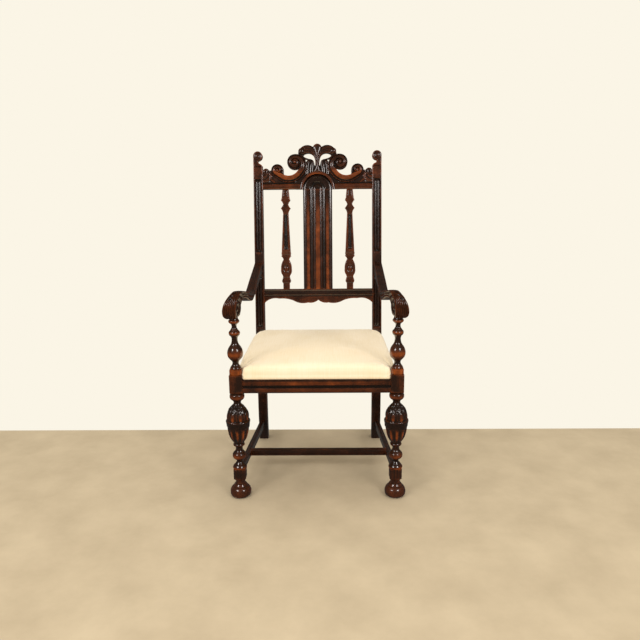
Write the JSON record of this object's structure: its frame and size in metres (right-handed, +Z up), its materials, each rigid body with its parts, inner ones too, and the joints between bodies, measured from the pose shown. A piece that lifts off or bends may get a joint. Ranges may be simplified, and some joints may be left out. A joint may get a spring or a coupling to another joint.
{
  "type": "carved armchair",
  "caption": "High-backed carved armchair with a pierced scroll crest, moulded splat, balusters, scrolled arms, bulbous front legs on bun feet, stretchers and an upholstered seat.",
  "frame": {"origin": "middle of the footprint at floor level", "axes": "+X to the sitter's left seen from the front as the viewer's right, +Y towards the back of the chair, +Z up"},
  "size_m": [0.6462, 0.6832, 1.2518],
  "materials": {
    "stained_wood": "glossy dark varnish over a red-brown stain",
    "plain_wood": "unfinished",
    "silk_cover": "fine slubbed weave",
    "jute_webbing": "coarse weave"
  },
  "bodies": {
    "root": {"arm_dowels": "plain_wood", "arm_left": "stained_wood", "arm_right": "stained_wood", "arm_support_left": "stained_wood", "arm_support_right": "stained_wood", "back_splat": "stained_wood", "bun_foot_left": "stained_wood", "bun_foot_right": "stained_wood", "corner_blocks": "plain_wood", "crest_rail": "stained_wood", "cross_stretcher": "stained_wood", "front_leg_left": "stained_wood", "front_leg_right": "stained_wood", "front_seat_rail": "stained_wood", "lower_back_rail": "stained_wood", "rear_post_left": "stained_wood", "rear_post_right": "stained_wood", "rear_seat_rail": "stained_wood", "seat_frame_front": "plain_wood", "seat_frame_left": "plain_wood", "seat_frame_rear": "plain_wood", "seat_frame_right": "plain_wood", "seat_pad": "silk_cover", "seat_pegs": "plain_wood", "seat_webbing": "jute_webbing", "side_seat_rail_left": "stained_wood", "side_seat_rail_right": "stained_wood", "side_stretcher_left": "stained_wood", "side_stretcher_right": "stained_wood", "spindle_left": "stained_wood", "spindle_right": "stained_wood"}
  },
  "joints": []
}
